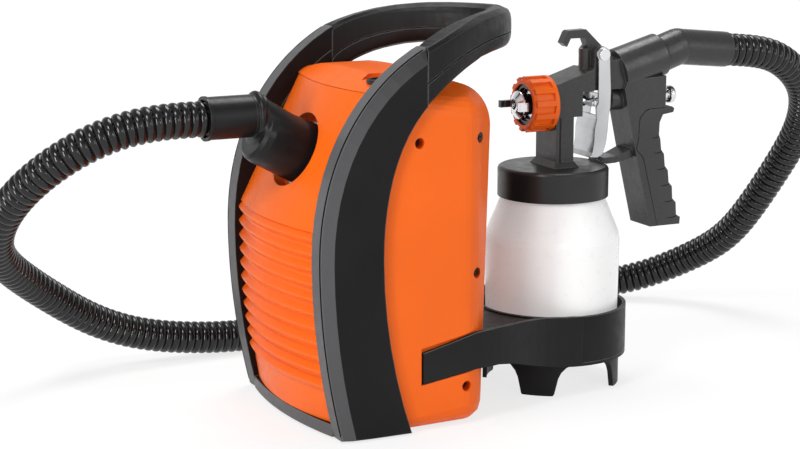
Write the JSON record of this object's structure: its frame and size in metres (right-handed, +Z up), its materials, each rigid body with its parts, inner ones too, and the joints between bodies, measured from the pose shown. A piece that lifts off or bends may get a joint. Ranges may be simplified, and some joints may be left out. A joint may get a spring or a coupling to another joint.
{
  "type": "paint sprayer",
  "caption": "Air-fed paint sprayer: upright blower base with a loop handle and cup holder, corrugated air hose, and a trigger gun with a screw-on paint bottle.",
  "frame": {"origin": "on the floor, under the middle of the sprayer measured without its hose", "axes": "+X across the base to its right side, -Y out of the air outlet at the front, +Z up"},
  "size_m": [0.2873, 0.6501, 0.2684],
  "materials": {
    "orange_plastic": "smooth moulded",
    "black_plastic": "fine texture",
    "gun_plastic": "satin moulded",
    "hose_plastic": "corrugated",
    "orange_ring": "satin moulded",
    "grey_plastic": "silver grey",
    "duct_plastic": "moulded",
    "rubber": "matte",
    "chrome": "polished",
    "steel": "turned",
    "motor_steel": "pressed",
    "copper_pack": "wound",
    "carbon": "carbon",
    "aluminium": "die cast",
    "foam": "open foam",
    "switch_red": "glossy",
    "white_bottle": "white",
    "gasket_white": "soft",
    "tube_white": "translucent"
  },
  "bodies": {
    "base": {"housing_right": "orange_plastic", "housing_left": "orange_plastic", "front_panel": "orange_plastic", "front_frame": "black_plastic", "side_band_right": "black_plastic", "side_band_left": "black_plastic", "handle_upper": "black_plastic", "handle_lower": "black_plastic", "rubber_feet": "rubber", "housing_screws": "steel", "switch_bezel": "black_plastic", "outlet_socket": "grey_plastic", "air_duct": "duct_plastic", "fan_housing": "duct_plastic", "motor_frame": "motor_steel", "motor_stator": "copper_pack", "motor_bearings": "steel", "carbon_brushes": "carbon", "motor_mounts": "rubber", "intake_filter": "foam", "cord_gland": "rubber", "cup_holder": "black_plastic", "holder_floor": "black_plastic", "holder_arms": "black_plastic", "holder_web": "black_plastic", "holder_legs": "black_plastic", "outlet_connector": "gun_plastic", "hose_sleeve": "gun_plastic", "air_hose": "hose_plastic"},
    "cover": {"filter_cover": "black_plastic"},
    "switch": {"rocker_switch": "switch_red"},
    "blower": {"motor_rotor": "steel", "impeller": "aluminium"},
    "gun": {"gun_cuff": "gun_plastic", "gun_body": "gun_plastic", "grip_shell": "gun_plastic", "grip_screws": "steel", "trigger_pin": "chrome", "packing_nut": "chrome", "fluid_nozzle": "chrome", "cup_lid": "gun_plastic", "lid_gasket": "gasket_white", "suction_tube": "tube_white", "needle_spring": "steel"},
    "trigger": {"trigger": "chrome"},
    "needle": {"needle": "chrome"},
    "knob": {"flow_knob": "chrome"},
    "air_cap": {"air_cap": "chrome"},
    "ring_nut": {"ring_nut": "orange_ring"},
    "bottle": {"paint_bottle": "white_bottle"}
  },
  "joints": [
    {"name": "gun_lift", "type": "slide", "parent": "base", "child": "gun", "axis": [0, 0, 1], "range_m": [0, 0.08], "deforming": ["air_hose"]},
    {"name": "filter_cover_pull", "type": "slide", "parent": "base", "child": "cover", "axis": [0, 1, 0], "range_m": [0, 0.012]},
    {"name": "switch_rock", "type": "hinge", "parent": "base", "child": "switch", "pos_m": [0.043, -0.092, 0.2195], "axis": [1, 0, 0], "range_deg": [-16, 0]},
    {"name": "motor_spin", "type": "hinge", "parent": "base", "child": "blower", "pos_m": [0, -0.082, 0.1], "axis": [0, 0, 1], "continuous": true},
    {"name": "trigger_pull", "type": "hinge", "parent": "gun", "child": "trigger", "pos_m": [0, 0.091, 0.2316], "axis": [1, 0, 0], "range_deg": [0, 10], "stiffness_Nm_per_rad": 0.6, "springref_deg": -5.73},
    {"name": "needle_draw", "type": "slide", "parent": "gun", "child": "needle", "axis": [0, 1, 0], "range_m": [0, 0.006], "deforming": ["needle_spring"]},
    {"name": "flow_knob_turn", "type": "hinge", "parent": "gun", "child": "knob", "pos_m": [0, 0.149, 0.1985], "axis": [0, 1, 0], "range_deg": [-1080, 0]},
    {"name": "air_cap_turn", "type": "hinge", "parent": "gun", "child": "air_cap", "pos_m": [0, 0.039, 0.1985], "axis": [0, 1, 0], "range_deg": [0, 90]},
    {"name": "ring_nut_turn", "type": "hinge", "parent": "gun", "child": "ring_nut", "pos_m": [0, 0.044, 0.1985], "axis": [0, 1, 0], "range_deg": [-120, 0]},
    {"name": "bottle_turn", "type": "hinge", "parent": "gun", "child": "bottle", "pos_m": [0, 0.059, 0.14], "axis": [0, 0, 1], "range_deg": [-90, 0]}
  ],
  "couplings": [
    {"joint": "needle_draw", "follows": "trigger_pull", "m_per_rad": 0.0338}
  ]
}
